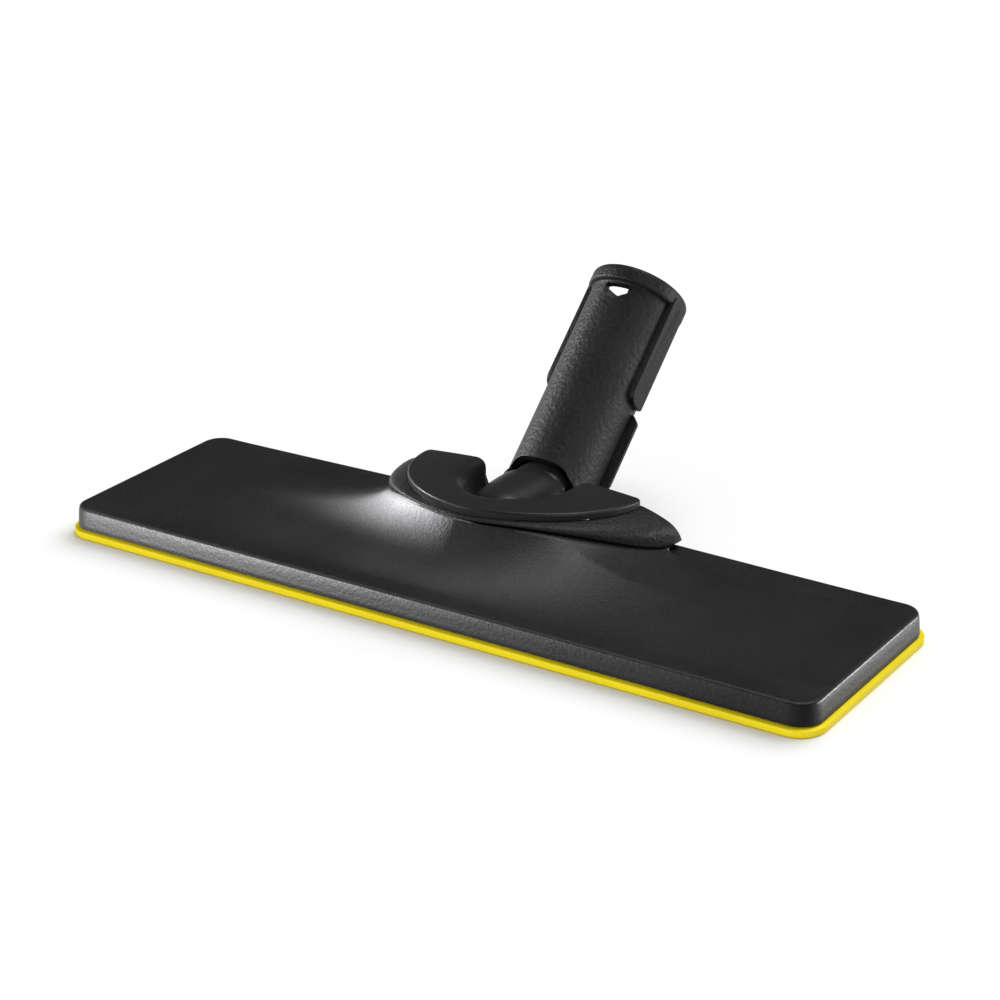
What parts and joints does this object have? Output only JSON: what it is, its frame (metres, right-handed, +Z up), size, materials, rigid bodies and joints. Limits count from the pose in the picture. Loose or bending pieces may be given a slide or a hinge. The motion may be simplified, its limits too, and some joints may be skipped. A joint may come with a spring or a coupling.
{
  "type": "steam floor cleaning head",
  "caption": "Long flat steam floor head with a low oval joint housing and a short connector tube that tilts back and rolls sideways.",
  "frame": {"origin": "middle of the flat underside of the sole, where the head rests on the floor", "axes": "+X along the head, -Y towards the front, +Z up"},
  "size_m": [0.31, 0.1704, 0.0903],
  "materials": {
    "yellow_plastic": "satin moulded",
    "black_textured": "fine spark-eroded texture",
    "black_satin": "smooth satin",
    "inner_plastic": "moulded grey",
    "bearing_plastic": "natural acetal",
    "hook_strip": "woven hook tape",
    "soft_rubber": "matte elastomer",
    "steel": "plated"
  },
  "bodies": {
    "head": {"sole_plate": "yellow_plastic", "hook_pad_front": "hook_strip", "hook_pad_rear": "hook_strip", "lamella_strip_front": "soft_rubber", "lamella_strip_rear": "soft_rubber", "distributor_gasket": "soft_rubber", "steam_distributor": "inner_plastic", "steam_elbow": "inner_plastic", "top_cover": "black_textured", "joint_housing": "black_textured", "saddle_cap": "black_satin", "bearing_block": "inner_plastic", "front_bush": "bearing_plastic", "cradle_liner": "bearing_plastic", "swivel_seal": "soft_rubber", "cover_screw_1": "steel", "cover_screw_2": "steel", "cover_screw_3": "steel", "cover_screw_4": "steel", "cover_screw_5": "steel", "cover_screw_6": "steel", "block_screw_1": "steel", "block_screw_2": "steel", "block_screw_3": "steel", "block_screw_4": "steel"},
    "knuckle": {"swivel_knuckle": "black_satin", "ball_seal": "soft_rubber", "swivel_clip": "steel", "tilt_pin_left": "steel", "tilt_pin_right": "steel"},
    "tube": {"connector_tube": "black_textured", "steam_pipe": "inner_plastic", "pipe_oring_lower": "soft_rubber", "pipe_oring_upper": "soft_rubber", "tilt_bush_left": "bearing_plastic", "tilt_bush_right": "bearing_plastic", "friction_washer_left": "steel", "friction_washer_right": "steel"}
  },
  "joints": [
    {"name": "knuckle_roll", "type": "hinge", "parent": "head", "child": "knuckle", "pos_m": [0, 0.0476, 0.0177], "axis": [0, 1, 0], "range_deg": [-15, 15]},
    {"name": "tube_tilt", "type": "hinge", "parent": "knuckle", "child": "tube", "pos_m": [0, 0.0476, 0.0177], "axis": [-1, 0, 0], "range_deg": [-14, 38]}
  ]
}
